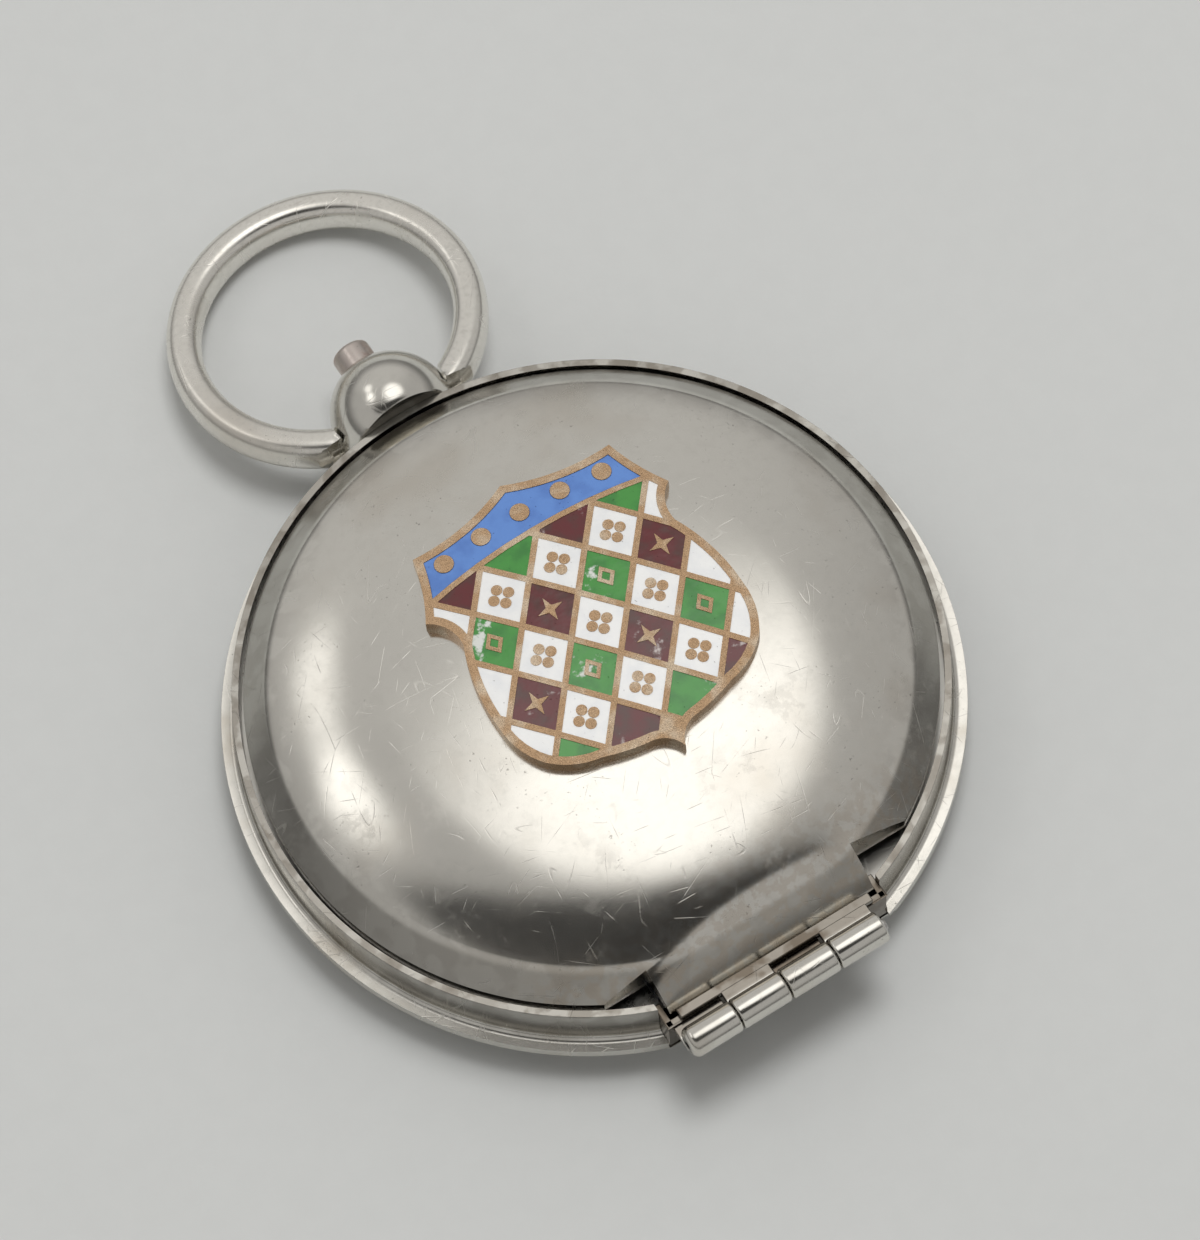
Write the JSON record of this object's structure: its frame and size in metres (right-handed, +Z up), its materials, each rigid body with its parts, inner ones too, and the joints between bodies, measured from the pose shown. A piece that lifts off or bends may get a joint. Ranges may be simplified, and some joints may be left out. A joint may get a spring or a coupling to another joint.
{
  "type": "coin case",
  "caption": "Round spring-lid pocket case for a gold coin, with a domed hinged lid, enamelled shield badge, push-button pendant and bow ring.",
  "frame": {"origin": "centre of the flat rest face under the back", "axes": "+Z up out of the lid, -Y towards the hinge, +Y towards the pendant and bow, X along the hinge pin"},
  "size_m": [0.0315, 0.0451, 0.0081],
  "materials": {
    "nickel_plate": "polished nickel plate, finely scratched",
    "nickel_inside": "nickel plate, duller inside",
    "bow_nickel": "worn satin nickel",
    "button_metal": "plate worn towards the base metal",
    "pin_steel": "bright steel",
    "spring_steel": "blued spring steel",
    "gilt_bronze": "worn gilt bronze",
    "enamel_blue": "vitreous enamel, glossy",
    "enamel_white": "vitreous enamel, glossy",
    "enamel_green": "vitreous enamel, glossy",
    "enamel_maroon": "vitreous enamel, worn"
  },
  "bodies": {
    "case": {"back_shell": "nickel_plate", "case_band": "nickel_plate", "base_hinge_leaf": "nickel_plate", "hinge_pin": "pin_steel", "inner_plate": "nickel_inside", "coin_retainer": "nickel_inside", "platform_spring": "spring_steel", "pendant_ball": "nickel_plate", "lock_spring_rivet": "pin_steel", "lift_spring_rivet": "pin_steel"},
    "lid": {"lid_shell": "nickel_plate", "lid_hinge_leaf": "nickel_plate", "catch_lug": "nickel_inside", "badge_plate": "gilt_bronze", "enamel_blue": "enamel_blue", "enamel_white": "enamel_white", "enamel_green": "enamel_green", "enamel_maroon": "enamel_maroon"},
    "button": {"push_button": "button_metal", "button_washer": "pin_steel"},
    "lock": {"lock_spring": "spring_steel"},
    "lift": {"lift_spring": "spring_steel"},
    "platform": {"coin_platform": "nickel_inside"},
    "bow": {"bow_ring": "bow_nickel"}
  },
  "joints": [
    {"name": "lid_hinge", "type": "hinge", "parent": "case", "child": "lid", "pos_m": [0, -0.0159, 0.0041], "axis": [1, 0, 0], "range_deg": [0, 110]},
    {"name": "button_press", "type": "slide", "parent": "case", "child": "button", "axis": [0, -1, 0], "range_m": [0, 0.0005], "stiffness_N_per_m": 600, "springref_m": -0.0002},
    {"name": "lock_flex", "type": "hinge", "parent": "case", "child": "lock", "pos_m": [-0.01065, 0.00746, 0.0021], "axis": [0, 0, -1], "range_deg": [0, 2.75]},
    {"name": "lift_flex", "type": "hinge", "parent": "case", "child": "lift", "pos_m": [-0.0046, -0.01275, 0.00315], "axis": [0, -1, 0], "range_deg": [0, 6.5]},
    {"name": "platform_press", "type": "slide", "parent": "case", "child": "platform", "axis": [0, 0, -1], "range_m": [0, 0.0017], "stiffness_N_per_m": 300, "springref_m": -0.0015, "deforming": ["platform_spring"]},
    {"name": "bow_swing", "type": "hinge", "parent": "case", "child": "bow", "pos_m": [0, 0.016, 0.0028], "axis": [1, 0, 0], "range_deg": [-38, 118]}
  ],
  "couplings": [
    {"joint": "lock_flex", "follows": "button_press", "rad_per_m": 94.073},
    {"joint": "lift_flex", "follows": "lid_hinge", "ratio": 0.055}
  ]
}
